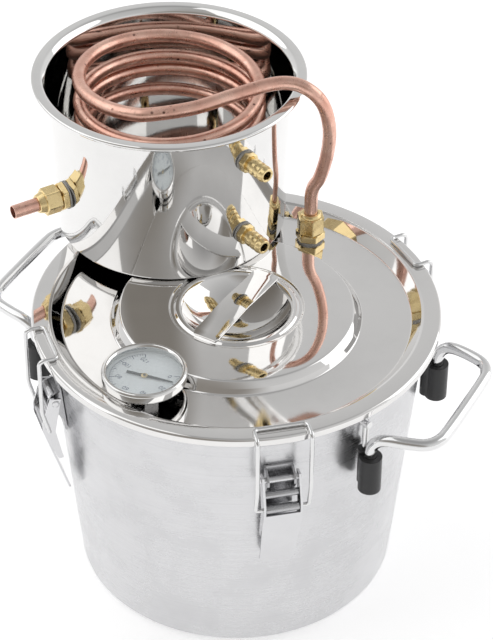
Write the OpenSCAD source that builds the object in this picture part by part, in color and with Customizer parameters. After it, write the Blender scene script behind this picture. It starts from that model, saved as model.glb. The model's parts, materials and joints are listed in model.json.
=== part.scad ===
// Small copper-and-steel pot still: a boiler with a clamped lid and a water-filled coil condenser on top.
// Millimetres, +Z up. Origin: centre of the boiler's base, on the floor. The two handles lie on +X and -X.

/* [Boiler] */
// Height from the floor to the top of the lid's rim
rim_z = 205; // [190:1:230]
// Outer radius of the boiler wall at its base
base_r = 108.3; // [105:0.1:110]
// Outward lean of the boiler wall, mm per mm of height
wall_lean = 0.0883; // [0.08:0.0001:0.09]
// Sheet thickness of the boiler, the lid and the condenser
sheet = 1; // [0.8:0.1:1.2]

/* [Lid] */
// Outer radius of the lid's rim
lid_r = 135; // [134:0.5:136]
// Inner radius of the lid's flat rim
rim_in_r = 123; // [122:0.5:124]
// Depth of the ring-shaped panel below the rim
panel_drop = 8; // [7:0.5:9]
// Width of the grip strap across the dish
strap_w = 19; // [16:1:22]
// Direction in which the grip strap runs
strap_az = 86.5; // [80:0.5:92]

/* [Latches] */
// Directions of the three toggle latches
latch_azs = [-50, -133.5, 54.5];
// Width of a bail, centre of wire to centre of wire
bail_w = 34.4; // [34:0.1:36]
// Diameter of the bail wire
bail_wire_d = 2.8; // [2.4:0.1:3]
// Distance from a lever's hinge to its bail pivot
latch_throw = 20; // [18:0.5:20]

/* [Handles] */
// Diameter of the handle rod
handle_rod_d = 8; // [6:0.5:9]
// Reach of the handle's outer bar from the boiler's axis
handle_reach = 165; // [160:1:170]

/* [Condenser] */
// Centre of the condenser pot on the lid
cond_xy = [-87.6, 71.1];
// Height of the condenser pot
cond_h = 115.7; // [110:0.1:125]
// Outer radius of the condenser wall at its base
cond_base_r = 78.3; // [76:0.1:80]
// Outer radius of the condenser's rolled lip
cond_lip_r = 92; // [90:0.5:93]
// Radius of the coil, centre of tube
coil_r = 60; // [58:0.5:61]
// Outside diameter of the copper tube
tube_d = 9.52; // [9.3:0.01:9.52]
// Wall thickness of the copper tube
tube_wall = 0.81; // [0.7:0.01:1]
// Direction of the distillate outlet
outlet_az = -121.5; // [-125:0.5:-118]
// Direction of the two water hose tails
tail_az = -24.5; // [-28:0.5:-20]

/* [Thermometer] */
// Diameter of the thermometer's bezel
bezel_d = 54.6; // [52:0.2:55]
// Direction of the thermometer on the lid
gauge_az = -99.5; // [-102:0.5:-97]
// Direction of the scale's zero mark
gauge_zero_az = 27.5; // [20:0.5:35]
// Angle of the pointer past zero at rest
gauge_rest = 20; // [10:1:30]

/* [Hidden] */

$fn = 96;
eps = 0.01;
run_gap = 0.06;                             // running clearance of every pin in its hole
facet_ease = 0.04;                          // swept wire and tube stay this far inside their round ends
lid_under_z = rim_z - sheet;                // underside of the lid's flat rim
flange_z = rim_z - 5;                       // top of the boiler's rolled flange
flange_r = lid_r - 2.2;
mouth_r = base_r + wall_lean * flange_z - sheet;
panel_z = rim_z - panel_drop;
disc_z = rim_z - 0.4;                       // top of the raised centre disc
disc_r = 78;
ring_r = 42;                                // foot of the ring round the dish
dish_r = 37;
dish_depth = 19;
dish_ball_r = (dish_r * dish_r + dish_depth * dish_depth) / (2 * dish_depth);

latch_hinge = [128.5, 165];                 // radius and height of a lever's hinge
latch_start = -72;                          // direction from the hinge to the bail pivot
bail_pivot = latch_hinge + latch_throw * [cos(latch_start), sin(latch_start)];
bail_wire_r = bail_wire_d / 2;
bail_rim_gap = 0.3;
bail_bar_r = rim_in_r + 3.4;                // radius at which a bail's cross bar lies
bail_arm_r = lid_r + 4;                     // radius at which a bail's arms pass the rim
bail_top_z = rim_z + bail_rim_gap + bail_wire_r;
hinge_pin_r = 2;
lug_y = 9.4;                                // half width over a latch base's lugs
cheek_y = 12.6;                             // half width over a lever's cheeks
cheek_t = 1.5;

sleeve_at = [123.6, 52.6];                  // where a handle rod's end stands
bracket_at = [117.9, 49.4];                 // where a bracket rod stands
sleeve_z = [138, 165];
handle_r = handle_rod_d / 2;
bracket_rod_r = 2;

cond_z = rim_z + 0.1;
cond_lean = 0.0411;
cond_top_z = cond_z + cond_h;
tube_r = tube_d / 2;
tube_in_r = tube_r - tube_wall;
union_at = 100 * [cos(87), sin(87)];
union_seat_z = panel_z + 12.5;              // top of the union body's threaded spigot
leg_top_z = panel_z + 36;                   // where the straight inlet leg meets the bent tube
outlet_z = cond_z + 45;
outlet_wall_r = cond_base_r + cond_lean * 45;
outlet_end_r = 120;
stub_in_r = 72;                             // where the straight outlet stub meets the bent tube
stub_free_r = 102.6;                        // where the outlet tube clears its nut and takes a hose
stub_slim_r = tube_r - 0.45;                // the tube's outside where it is drawn in to pass the fitting
tail_zs = [cond_z + 89, cond_z + 30.5];

gauge_at = 96.5 * [cos(gauge_az), sin(gauge_az)];
gauge_z = rim_z + 0.4;                      // underside of the thermometer's case
bezel_r = bezel_d / 2;
dial_z = gauge_z + 2;
stem_tip_z = panel_z - 40;

steel = [0.80, 0.81, 0.82];
polished = [0.86, 0.87, 0.88];
brass = [0.78, 0.64, 0.33];
copper = [0.74, 0.43, 0.32];
silicone = [0.88, 0.87, 0.84];
black = [0.07, 0.07, 0.08];

function wall_r(z) = base_r + wall_lean * z;
function cond_wall_r(z) = cond_base_r + cond_lean * (z - cond_z);

// ---- sweeps ------------------------------------------------------------------------------------------

function unit(v) = v / norm(v);
function tangent_at(path, i) = unit(path[min(i + 1, len(path) - 1)] - path[max(i - 1, 0)]);
function turned(side, dir) = unit(side - dir * (side * dir));
function sides_along(path, side, i = 0) =
    i == len(path) ? []
    : let (s = turned(side, tangent_at(path, i))) concat([s], sides_along(path, s, i + 1));
function ring_at(centre, dir, side, r, n) =
    [for (k = [0:n - 1]) centre + r * (cos(360 * k / n) * side + sin(360 * k / n) * cross(dir, side))];
function rings_along(path, start_dir, end_dir, side, r, n) =
    let (sides = sides_along(path, side), last = len(path) - 1)
    [for (i = [0:last])
        let (dir = i == 0 ? start_dir : i == last ? end_dir : tangent_at(path, i))
        each ring_at(path[i], dir, turned(sides[i], dir), r, n)];
function band(first, rings, n, flip) =
    [for (i = [0:rings - 2], k = [0:n - 1])
        let (a = first + i * n + k, b = first + i * n + (k + 1) % n)
        each flip ? [[a, a + n, b], [b, a + n, b + n]] : [[a, b, a + n], [b, b + n, a + n]]];

// A round rod of radius r along a path, with flat ends square to start_dir and end_dir.
module rod_along(path, r, start_dir, end_dir, side, n = 12) {
    count = len(path);
    polyhedron(
        rings_along(path, start_dir, end_dir, side, r, n),
        concat(band(0, count, n, true),
            [[for (k = [0:n - 1]) k]],
            [[for (k = [0:n - 1]) count * n - 1 - k]]));
}

// A round tube along a path: an outer and an inner skin joined by flat ring-shaped ends.
module tube_along(path, r, in_r, start_dir, end_dir, side, n = 12) {
    count = len(path);
    inner = count * n;
    last = (count - 1) * n;
    polyhedron(
        concat(rings_along(path, start_dir, end_dir, side, r, n),
            rings_along(path, start_dir, end_dir, side, in_r, n)),
        concat(band(0, count, n, true), band(inner, count, n, false),
            [for (k = [0:n - 1]) let (m = (k + 1) % n) each [[k, m, inner + k], [inner + k, m, inner + m]]],
            [for (k = [0:n - 1]) let (m = (k + 1) % n)
                each [[last + m, last + k, inner + last + m],
                    [inner + last + m, last + k, inner + last + k]]]));
}

function smooth_point(p0, p1, p2, p3, t) =
    0.5 * (2 * p1 + (p2 - p0) * t + (2 * p0 - 5 * p1 + 4 * p2 - p3) * t * t
        + (3 * p1 - p0 - 3 * p2 + p3) * t * t * t);
// A smooth curve through hand-placed points; the first and last only set the end directions.
function smooth_path(points, steps) = concat(
    [for (i = [1:len(points) - 3], s = [0:steps - 1])
        smooth_point(points[i - 1], points[i], points[i + 1], points[i + 2], s / steps)],
    [points[len(points) - 2]]);

// A path of straight stretches whose corners are arcs, one radius for each inner point.
function corner_arc(a, b, c, r, steps) =
    let (u = unit(a - b), v = unit(c - b), half = acos(u * v) / 2,
        centre = b + unit(u + v) * r / sin(half), spoke = b + u * r / tan(half) - centre)
    [for (k = [0:steps]) let (t = (180 - 2 * half) * k / steps) centre + spoke * cos(t) - u * r * sin(t)];
function bent_path(points, radii, steps) = concat([points[0]],
    [for (i = [1:len(points) - 2])
        each corner_arc(points[i - 1], points[i], points[i + 1], radii[i - 1], steps)],
    [points[len(points) - 1]]);

// ---- boiler ------------------------------------------------------------------------------------------

module boiler_pot() {
    color(steel) rotate_extrude($fn = 180) polygon([
        [0, 0], [base_r - 5, 0], [base_r - 1.6, 1.4], [wall_r(5), 5],
        [wall_r(flange_z - 3), flange_z - 3], [flange_r - 2, flange_z - 2],
        [flange_r - 1, flange_z - 3.4], [flange_r, flange_z - 2.6], [flange_r, flange_z - 0.6],
        [flange_r - 0.6, flange_z], [mouth_r + 0.6, flange_z], [mouth_r, flange_z - 0.6],
        [wall_r(5) - sheet, 5.4], [base_r - 2.6, 2.4], [base_r - 5.4, sheet], [0, sheet]]);
}

module handle_rod(side_az) {
    bar_z = sleeve_z[1] + 17.5;
    half = [[sleeve_at.x, sleeve_at.y, sleeve_z[0] + 4], [sleeve_at.x, sleeve_at.y, sleeve_z[1] - 4],
        [sleeve_at.x, sleeve_at.y, sleeve_z[1] + 3.5], [sleeve_at.x + 1.6, sleeve_at.y + 0.2, bar_z - 7.5],
        [sleeve_at.x + 6, sleeve_at.y + 0.2, bar_z - 2.5],
        [sleeve_at.x + 12.5, sleeve_at.y - 0.6, bar_z - 0.5],
        [handle_reach - 18, 49.8, bar_z], [handle_reach - 7.6, 46, bar_z],
        [handle_reach - 1.9, 38.4, bar_z], [handle_reach, 25, bar_z]];
    far = [for (i = [len(half) - 1:-1:0]) [half[i].x, -half[i].y, half[i].z]];
    lead = [[sleeve_at.x, sleeve_at.y, sleeve_z[0] - 4]];
    tail = [[sleeve_at.x, -sleeve_at.y, sleeve_z[0] - 4]];
    color(polished) rotate([0, 0, side_az])
        rod_along(smooth_path(concat(lead, half, far, tail), 4), handle_r, [0, 0, 1], [0, 0, -1], [1, 0, 0]);
}

module handle_sleeve() {
    length = sleeve_z[1] - sleeve_z[0];
    difference() {
        union() {
            translate([sleeve_at.x, sleeve_at.y, sleeve_z[0]]) cylinder(h = length, r = 7.5);
            translate([bracket_at.x, bracket_at.y, sleeve_z[0] + 2]) cylinder(h = length, r = 4.4);
        }
        translate([sleeve_at.x, sleeve_at.y, sleeve_z[0] + 3.9]) cylinder(h = 40, r = handle_r + 0.12);
        translate([bracket_at.x, bracket_at.y, sleeve_z[0] + 5.9]) cylinder(h = 40, r = bracket_rod_r + eps);
    }
}

module handle_sleeves() {
    color(black) for (az = [0, 180], side = [0, 1])
        rotate([0, 0, az]) mirror([0, side, 0]) handle_sleeve();
}

// A rod welded to the wall below the flange and standing in the sleeve's inner barrel.
module handle_bracket_rod() {
    top_z = flange_z - 10;
    reach = norm(bracket_at);
    rotate([0, 0, atan2(bracket_at.y, bracket_at.x)]) difference() {
        union() {
            translate([reach, 0, sleeve_z[0] + 6]) cylinder(h = top_z - sleeve_z[0] - 6, r = bracket_rod_r);
            translate([wall_r(top_z) - 4, 0, top_z - 2.4]) rotate([0, 90, 0])
                cylinder(h = reach + 3.4 - wall_r(top_z) + 4, r = bracket_rod_r + 0.6);
        }
        cylinder(h = rim_z, r1 = base_r + eps, r2 = wall_r(rim_z) + eps);
    }
}

module handle_bracket_rods() {
    color(steel) for (az = [0, 180], side = [0, 1])
        rotate([0, 0, az]) mirror([0, side, 0]) handle_bracket_rod();
}

// ---- latches: local X points outwards, the plane of a latch is X-Z -----------------------------------

module latch_base(az) {
    plate_low = latch_hinge.y - 26;
    plate_high = latch_hinge.y + 9;
    color(steel) rotate([0, 0, az]) difference() {
        union() {
            translate([wall_r(plate_low) + 0.05, -lug_y, plate_low]) rotate([0, atan(wall_lean), 0])
                cube([1.5, 2 * lug_y, plate_high - plate_low]);
            for (side = [-1, 1])
                translate([0, side * (lug_y - cheek_t / 2) + cheek_t / 2, 0])
                    rotate([90, 0, 0]) linear_extrude(cheek_t) polygon([
                    [wall_r(plate_high) + 0.8, plate_high - 2], [latch_hinge.x + 2, latch_hinge.y + 4.6],
                    [latch_hinge.x + 4.4, latch_hinge.y + 1.5], [latch_hinge.x + 4.4, latch_hinge.y - 2],
                    [wall_r(plate_low) + 1.8, plate_low + 8]]);
        }
        translate([latch_hinge.x, 0, latch_hinge.y]) rotate([90, 0, 0])
            cylinder(h = 60, r = hinge_pin_r + eps, center = true);
    }
}

module latch_hinge_pins() {
    color(polished) for (az = latch_azs) rotate([0, 0, az])
        translate([latch_hinge.x, 0, latch_hinge.y]) rotate([90, 0, 0])
            cylinder(h = 2 * cheek_y + 0.8, r = hinge_pin_r, center = true);
}

// A folded channel: a tapering front plate with a cheek each side, a rolled top and ears for the bail.
module latch_lever(az) {
    tip = [120.4, 88];
    color(steel) rotate([0, 0, az]) difference() {
        union() {
            for (side = [-1, 1])
                translate([0, side * (cheek_y - cheek_t / 2) + cheek_t / 2, 0])
                    rotate([90, 0, 0]) linear_extrude(cheek_t) polygon([
                    [latch_hinge.x - 3.6, latch_hinge.y + 3.4], [latch_hinge.x + 3.4, latch_hinge.y + 4.6],
                    [bail_pivot.x + 3.4, bail_pivot.y + 4], [bail_pivot.x + 3.4, bail_pivot.y - 3],
                    [128.4, 118], [125, 118], [bail_pivot.x - 5, bail_pivot.y - 4]]);
            intersection() {
                rotate([90, 0, 0]) translate([0, 0, -cheek_y]) linear_extrude(2 * cheek_y) polygon([
                    [bail_pivot.x + 3.4, bail_pivot.y - 3], [tip.x + 1.5, tip.y], [tip.x, tip.y],
                    [bail_pivot.x + 1.9, bail_pivot.y - 3]]);
                translate([60, 0, 0]) rotate([90, 0, 90]) linear_extrude(100) polygon([
                    [-cheek_y, 160], [-cheek_y, 132], [-11.5, 92], [-8.5, 86], [8.5, 86], [11.5, 92],
                    [cheek_y, 132], [cheek_y, 160]]);
            }
        }
        translate([latch_hinge.x, 0, latch_hinge.y]) rotate([90, 0, 0])
            cylinder(h = 60, r = hinge_pin_r + run_gap, center = true);
        translate([bail_pivot.x, 0, bail_pivot.y]) rotate([90, 0, 0])
            cylinder(h = 60, r = bail_wire_r + run_gap, center = true);
    }
}

module latch_bail(az) {
    w = bail_w / 2;
    elbow_r = 2.2;
    pin_y = w - elbow_r;
    pin_end_y = cheek_y - cheek_t - 1.2;
    half = [[bail_pivot.x, pin_y - 0.8, bail_pivot.y], [bail_pivot.x, w, bail_pivot.y],
        [bail_arm_r, w, bail_pivot.y + 18], [bail_arm_r, w, bail_top_z], [bail_bar_r, w, bail_top_z]];
    far = [for (i = [len(half) - 1:-1:0]) [half[i].x, -half[i].y, half[i].z]];
    radii = [elbow_r, 24, 3.6, 3.6, 3.6, 3.6, 24, elbow_r];
    color(polished) rotate([0, 0, az]) {
        rod_along(bent_path(concat(half, far), radii, 5), bail_wire_r - facet_ease,
            [0, 1, 0], [0, 1, 0], [1, 0, 0], 10);
        for (side = [0, 1]) mirror([0, side, 0])
            translate([bail_pivot.x, pin_y - 0.3, bail_pivot.y]) rotate([90, 0, 0])
                cylinder(h = pin_y - 0.3 - pin_end_y, r = bail_wire_r);
    }
}

// ---- lid ---------------------------------------------------------------------------------------------

module lid() {
    ball_z = rim_z - dish_depth + dish_ball_r;
    dish = [for (a = [0:4:20]) 90 - a * asin(dish_r / dish_ball_r) / 20];
    function dish_side(r) = [for (a = dish) [r * cos(a), ball_z - r * sin(a)]];
    top_side = dish_side(dish_ball_r);
    low_side = dish_side(dish_ball_r + sheet);
    color(polished) difference() {
        rotate_extrude($fn = 180) polygon(concat(
            top_side,
            [[dish_r + 1, rim_z], [ring_r - 1.4, rim_z], [ring_r, disc_z], [disc_r - 1.4, disc_z],
                [disc_r, disc_z - 0.6], [disc_r + 4, panel_z + 0.5], [disc_r + 5.2, panel_z],
                [rim_in_r - 8, panel_z], [rim_in_r - 6.6, panel_z + 0.7], [rim_in_r - 1, rim_z - 0.9],
                [rim_in_r + 0.6, rim_z], [lid_r - 2, rim_z], [lid_r - 0.6, rim_z - 0.6], [lid_r, rim_z - 2],
                [lid_r, flange_z - 0.5], [lid_r - sheet, flange_z - 0.5],
                [lid_r - sheet, lid_under_z - 0.8], [lid_r - 2, lid_under_z], [rim_in_r + 1.6, lid_under_z],
                [rim_in_r + 0.2, lid_under_z - 0.6], [rim_in_r - 5.6, panel_z - 0.4],
                [rim_in_r - 7.4, panel_z - sheet], [disc_r + 4.6, panel_z - sheet],
                [disc_r + 2.8, panel_z - 0.3], [disc_r - 1, disc_z - sheet - 0.4],
                [disc_r - 2, disc_z - sheet], [ring_r - 0.4, disc_z - sheet], [ring_r - 2, lid_under_z],
                [dish_r + 1.4, lid_under_z]],
            [for (i = [len(low_side) - 1:-1:0]) low_side[i]]));
        for (at = [union_at, gauge_at]) translate([at.x, at.y, panel_z - 5]) cylinder(h = 10, r = 6.1);
    }
}

module lid_gasket() {
    color(silicone) rotate_extrude($fn = 180) polygon([
        [mouth_r + 1, flange_z + 0.05], [flange_r - 0.2, flange_z + 0.05], [flange_r + 0.6, flange_z + 1],
        [flange_r + 0.6, lid_under_z - 0.9], [flange_r - 0.2, lid_under_z - 0.05],
        [mouth_r + 1, lid_under_z - 0.05]]);
}

module lid_grip_strap() {
    reach = ring_r - 1.6;
    color(polished) rotate([0, 0, strap_az]) rotate([90, 0, 0]) translate([0, 0, -strap_w / 2])
        linear_extrude(strap_w) polygon([
            [-reach, rim_z + eps], [-reach + 5, rim_z + eps], [-12, rim_z + 1.2], [12, rim_z + 1.2],
            [reach - 5, rim_z + eps], [reach, rim_z + eps], [reach, rim_z + 1.2], [reach - 5, rim_z + 1.5],
            [12, rim_z + 2.7], [-12, rim_z + 2.7], [5 - reach, rim_z + 1.5], [-reach, rim_z + 1.2]]);
}

module hex(across, h) {
    cylinder(h = h, r = across / sqrt(3), $fn = 6);
}

module washer(r, in_r, h) {
    difference() {
        cylinder(h = h, r = r);
        translate([0, 0, -1]) cylinder(h = h + 2, r = in_r);
    }
}

module at_union(z) {
    translate([union_at.x, union_at.y, z]) children();
}

module lid_union_body() {
    color(brass) at_union(0) difference() {
        union() {
            translate([0, 0, panel_z + 1.5]) hex(18, 5.5);
            translate([0, 0, panel_z - 14]) cylinder(h = union_seat_z - panel_z + 14, r = 6);
        }
        translate([0, 0, panel_z - 20]) cylinder(h = 60, r = tube_r + 0.08);
    }
}

module lid_union_lock_nut() {
    color(brass) at_union(panel_z - sheet - 6.6) difference() {
        hex(17, 5);
        translate([0, 0, -1]) cylinder(h = 10, r = 6 + eps);
    }
}

module lid_union_washers() {
    color(silicone) for (z = [panel_z + eps, panel_z - sheet - 1.5]) at_union(z) washer(9, 6 + eps, 1.45);
}

module union_nut() {
    color(brass) at_union(panel_z + 7.2) difference() {
        union() {
            hex(17, 13);
            translate([0, 0, 12]) cylinder(h = 3, r1 = 7.4, r2 = 6);
        }
        translate([0, 0, -1]) cylinder(h = 9.6, r = 6 + run_gap);
        translate([0, 0, -1]) cylinder(h = 30, r = tube_r + run_gap);
    }
}

module ferrule(bore_r) {
    difference() {
        cylinder(h = 2.6, r = 5.9);
        translate([0, 0, -1]) cylinder(h = 5, r = bore_r + eps);
    }
}

module inlet_ferrule() {
    color(brass) at_union(union_seat_z + 0.1) ferrule(tube_r);
}

// ---- thermometer -------------------------------------------------------------------------------------

module at_gauge(z) {
    translate([gauge_at.x, gauge_at.y, z]) children();
}

module gauge_case() {
    color(steel) at_gauge(gauge_z) difference() {
        cylinder(h = 6.6, r = bezel_r - 1.3);
        translate([0, 0, 1]) cylinder(h = 9, r = bezel_r - 2.3);
        translate([0, 0, -1]) cylinder(h = 5, r = 4.02);
    }
}

module gauge_bezel() {
    color(polished) at_gauge(gauge_z) rotate_extrude() polygon([
        [bezel_r - 1.25, 2.4], [bezel_r - 0.3, 2.4], [bezel_r, 2.8], [bezel_r, 7.4], [bezel_r - 0.6, 8.4],
        [bezel_r - 1.6, 8.8], [bezel_r - 2.8, 8.5], [bezel_r - 3.6, 7.6], [bezel_r - 3.6, 6.7],
        [bezel_r - 1.25, 6.7]]);
}

module gauge_dial() {
    color("white") at_gauge(dial_z) washer(bezel_r - 2.4, 1.2, 0.5);
}

module gauge_lens() {
    color([0.85, 0.92, 0.95, 0.35]) at_gauge(gauge_z + 5.2) cylinder(h = 1.3, r = bezel_r - 2.35);
}

module gauge_stem() {
    color(steel) at_gauge(0) difference() {
        union() {
            translate([0, 0, stem_tip_z]) cylinder(h = gauge_z + 1.6 - stem_tip_z, r = 4);
            translate([0, 0, panel_z + 1.5]) hex(17, gauge_z - panel_z - 1.55);
            translate([0, 0, panel_z - 12]) cylinder(h = 15, r = 6);
        }
        translate([0, 0, stem_tip_z + 2]) cylinder(h = 80, r = 3);
    }
}

module gauge_lock_nut() {
    color(steel) at_gauge(panel_z - sheet - 6.6) difference() {
        hex(17, 5);
        translate([0, 0, -1]) cylinder(h = 10, r = 6 + eps);
    }
}

module gauge_washers() {
    color(silicone) for (z = [panel_z + eps, panel_z - sheet - 1.5]) at_gauge(z) washer(9, 6 + eps, 1.45);
}

// The pointer's long end shows the reading; a short broad tail balances it. Its shaft runs down the stem.
module gauge_pointer() {
    color(black) at_gauge(dial_z + 1.1) rotate([0, 0, gauge_zero_az - gauge_rest]) {
        linear_extrude(0.6) polygon([[-12, -0.9], [-3, -0.9], [-1.5, -1.4], [3, -0.9], [18.6, -0.35],
            [19.4, 0], [18.6, 0.35], [3, 0.9], [-1.5, 1.4], [-3, 0.9], [-12, 0.9]]);
        translate([0, 0, stem_tip_z + 10 - dial_z - 1.1])
            cylinder(h = dial_z + 2.3 - stem_tip_z - 10, r = 0.8);
    }
}

// The bimetal strip coiled round the shaft inside the stem, which turns the pointer as it warms.
module gauge_bimetal_coil() {
    turns = 6;
    steps = 10;
    path = [for (i = [0:turns * steps])
        [1.9 * cos(360 * i / steps), 1.9 * sin(360 * i / steps), 3.2 * i / steps]];
    color(copper) at_gauge(stem_tip_z + 4) rod_along(path, 0.5, [0, 1, 0], [0, 1, 0], [1, 0, 0], 5);
}

// ---- condenser ---------------------------------------------------------------------------------------

module at_condenser(z = 0) {
    translate([cond_xy.x, cond_xy.y, z]) children();
}

// Places a fitting whose axis points outwards through the condenser's wall; local Z is that axis.
module through_wall(az, z, r) {
    at_condenser(z) rotate([0, 0, az]) translate([r, 0, 0]) rotate([0, 90, 0]) children();
}

module condenser_pot() {
    top_r = cond_wall_r(cond_top_z);
    color(polished) difference() {
        at_condenser() rotate_extrude($fn = 180) polygon([
            [0, cond_z], [cond_base_r - 3, cond_z], [cond_base_r - 0.9, cond_z + 0.8],
            [cond_wall_r(cond_z + 3), cond_z + 3], [top_r - 0.2, cond_top_z - 4],
            [top_r + 0.5, cond_top_z - 2.2],
            [top_r + 2.4, cond_top_z - 1.2], [cond_lip_r - 2.6, cond_top_z - 1.2],
            [cond_lip_r - 2.2, cond_top_z - 2.4], [cond_lip_r - 0.8, cond_top_z - 2.8],
            [cond_lip_r, cond_top_z - 1.6], [cond_lip_r - 0.2, cond_top_z - 0.5],
            [cond_lip_r - 1.2, cond_top_z], [top_r + 2, cond_top_z - 0.2], [top_r - 0.2, cond_top_z - 1.4],
            [top_r - 1.1, cond_top_z - 3.6], [cond_wall_r(cond_z + 3) - sheet, cond_z + 3.4],
            [cond_base_r - 2, cond_z + 1.8], [cond_base_r - 3.6, cond_z + sheet], [0, cond_z + sheet]]);
        through_wall(outlet_az, outlet_z, outlet_wall_r - 10) cylinder(h = 20, r = 6.6);
        for (z = tail_zs) through_wall(tail_az, z, cond_wall_r(z) - 10) cylinder(h = 20, r = 5.1);
    }
}

// Height of the coil after t turns: the turns lie close in the middle and open out towards both ends.
function coil_z(t) = cond_z + 86.4 + 10 * (t - 2.2) + 1.9 * pow(t - 2.2, 3);
function coil_point(t) = [cond_xy.x + coil_r * cos(outlet_az + 360 * t),
    cond_xy.y + coil_r * sin(outlet_az + 360 * t), coil_z(t)];
function outlet_point(r) = [cond_xy.x + r * cos(outlet_az), cond_xy.y + r * sin(outlet_az), outlet_z];

module copper_coil() {
    elbow_at = coil_r + 2;                  // the outlet's elbow leads from here onto the first turn
    coil_start = acos(coil_r / elbow_at) / 360;
    coil_end = 4.12;
    rings = 98;
    turn_step = (coil_end - coil_start) / rings;
    run = [coil_point(coil_end - turn_step), coil_point(coil_end),
        [-49, 31, rim_z + 121.5], [-32, 53.5, rim_z + 123.2], [-16, 74.5, rim_z + 124.6],
        [-3.5, 84, rim_z + 124.2], [8.4, 87.5, rim_z + 120], [16.6, 91, rim_z + 109], [19.4, 95, rim_z + 90],
        [17.2, 98, rim_z + 68], [11.6, 99.6, rim_z + 46], [union_at.x + 1.6, union_at.y, leg_top_z + 8],
        [union_at.x, union_at.y, leg_top_z], [union_at.x, union_at.y, leg_top_z - 8]];
    path = concat([outlet_point(stub_in_r + 1.5)],
        corner_arc(outlet_point(stub_in_r + 1.5), outlet_point(elbow_at), coil_point(coil_start), 12, 6),
        [for (k = [1:rings - 1]) coil_point(coil_start + k * turn_step)], smooth_path(run, 4),
        [[union_at.x, union_at.y, leg_top_z - 1.5]]);
    outwards = [cos(outlet_az), sin(outlet_az), 0];
    color(copper) {
        tube_along(path, tube_r - facet_ease, tube_in_r - facet_ease, -outwards, [0, 0, -1], [0, 0, 1], 10);
        through_wall(outlet_az, outlet_z, stub_in_r) washer(stub_slim_r, tube_in_r, stub_free_r - stub_in_r);
        through_wall(outlet_az, outlet_z, stub_free_r) washer(tube_r, tube_in_r, outlet_end_r - stub_free_r);
        at_union(panel_z - 12) washer(tube_r, tube_in_r, leg_top_z - 0.5 - panel_z + 12);
    }
}

module outlet_bulkhead() {
    color(brass) through_wall(outlet_az, outlet_z, outlet_wall_r) difference() {
        union() {
            translate([0, 0, 1.6]) hex(18, 4.4);
            translate([0, 0, -8.2]) cylinder(h = 20.8, r = 6.5);
        }
        translate([0, 0, -20]) cylinder(h = 60, r = tube_r + eps);
    }
}

module outlet_lock_nut() {
    color(brass) through_wall(outlet_az, outlet_z, outlet_wall_r) translate([0, 0, -7.4]) difference() {
        hex(18, 4);
        translate([0, 0, -1]) cylinder(h = 10, r = 6.5 + eps);
    }
}

module outlet_washers() {
    color(silicone) through_wall(outlet_az, outlet_z, outlet_wall_r)
        for (z = [0.46, -3.3]) translate([0, 0, z]) washer(9.6, 6.5 + eps, 1.1);
}

module outlet_ferrule() {
    color(brass) through_wall(outlet_az, outlet_z, outlet_wall_r)
        translate([0, 0, 12.7]) ferrule(stub_slim_r);
}

module outlet_compression_nut() {
    color(brass) through_wall(outlet_az, outlet_z, outlet_wall_r) translate([0, 0, 6.6]) difference() {
        union() {
            rotate([0, 0, 18]) hex(17, 11);
            translate([0, 0, 11 - eps]) cylinder(h = 4.5, r1 = 7.6, r2 = 6);
        }
        translate([0, 0, -1]) cylinder(h = 10, r = 6.5 + eps);
        translate([0, 0, -1]) cylinder(h = 30, r = tube_r + eps);
    }
}

// A barbed hose tail with a hex collar outside the wall and a threaded end inside it.
module hose_tail(z) {
    color(brass) through_wall(tail_az, z, cond_wall_r(z)) difference() {
        rotate_extrude($fn = 48) polygon([
            [3, -9], [5, -9], [5, 1.5], [7, 1.5], [7, 6],
            [4.6, 6], [4.6, 8], [5.6, 9], [5.6, 11.2], [4.9, 13.4],
            [5.6, 13.9], [5.6, 15.8], [4.9, 18], [5.6, 18.5], [5.6, 20.4], [4.7, 23], [3, 23]]);
        for (k = [0:5]) rotate([0, 0, 60 * k]) translate([6.2, -9, 1.4]) cube([4, 18, 4.7]);
    }
}

module hose_tail_upper() {
    hose_tail(tail_zs[0]);
}

module hose_tail_lower() {
    hose_tail(tail_zs[1]);
}

module hose_tail_lock_nuts() {
    color(brass) for (z = tail_zs) through_wall(tail_az, z, cond_wall_r(z) - 7.6) difference() {
        hex(14, 4);
        translate([0, 0, -1]) cylinder(h = 10, r = 5 + eps);
    }
}

module hose_tail_washers() {
    color(silicone) for (z = tail_zs, side = [0, 1]) through_wall(tail_az, z, cond_wall_r(z))
        translate([0, 0, side == 0 ? 0.4 : -3.5]) washer(7.4, 5 + eps, side == 0 ? 1.05 : 1.5);
}

// ---- assembly ----------------------------------------------------------------------------------------

boiler_pot();
handle_rod(0);  // handle_rod_right
handle_rod(180);  // handle_rod_left
handle_sleeves();
handle_bracket_rods();
latch_base(latch_azs[0]);  // latch_base_front
latch_base(latch_azs[1]);  // latch_base_left
latch_base(latch_azs[2]);  // latch_base_back
latch_hinge_pins();
latch_lever(latch_azs[0]);  // latch_lever_front
latch_lever(latch_azs[1]);  // latch_lever_left
latch_lever(latch_azs[2]);  // latch_lever_back
latch_bail(latch_azs[0]);  // latch_bail_front
latch_bail(latch_azs[1]);  // latch_bail_left
latch_bail(latch_azs[2]);  // latch_bail_back
lid();
lid_gasket();
lid_grip_strap();
lid_union_body();
lid_union_lock_nut();
lid_union_washers();
union_nut();
inlet_ferrule();
gauge_case();
gauge_bezel();
gauge_dial();
gauge_lens();
gauge_stem();
gauge_lock_nut();
gauge_washers();
gauge_pointer();
gauge_bimetal_coil();
condenser_pot();
copper_coil();
outlet_bulkhead();
outlet_lock_nut();
outlet_washers();
outlet_ferrule();
outlet_compression_nut();
hose_tail_upper();
hose_tail_lower();
hose_tail_lock_nuts();
hose_tail_washers();
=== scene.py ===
import json
import math

import bmesh
import bpy
from mathutils import Matrix, Vector


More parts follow.
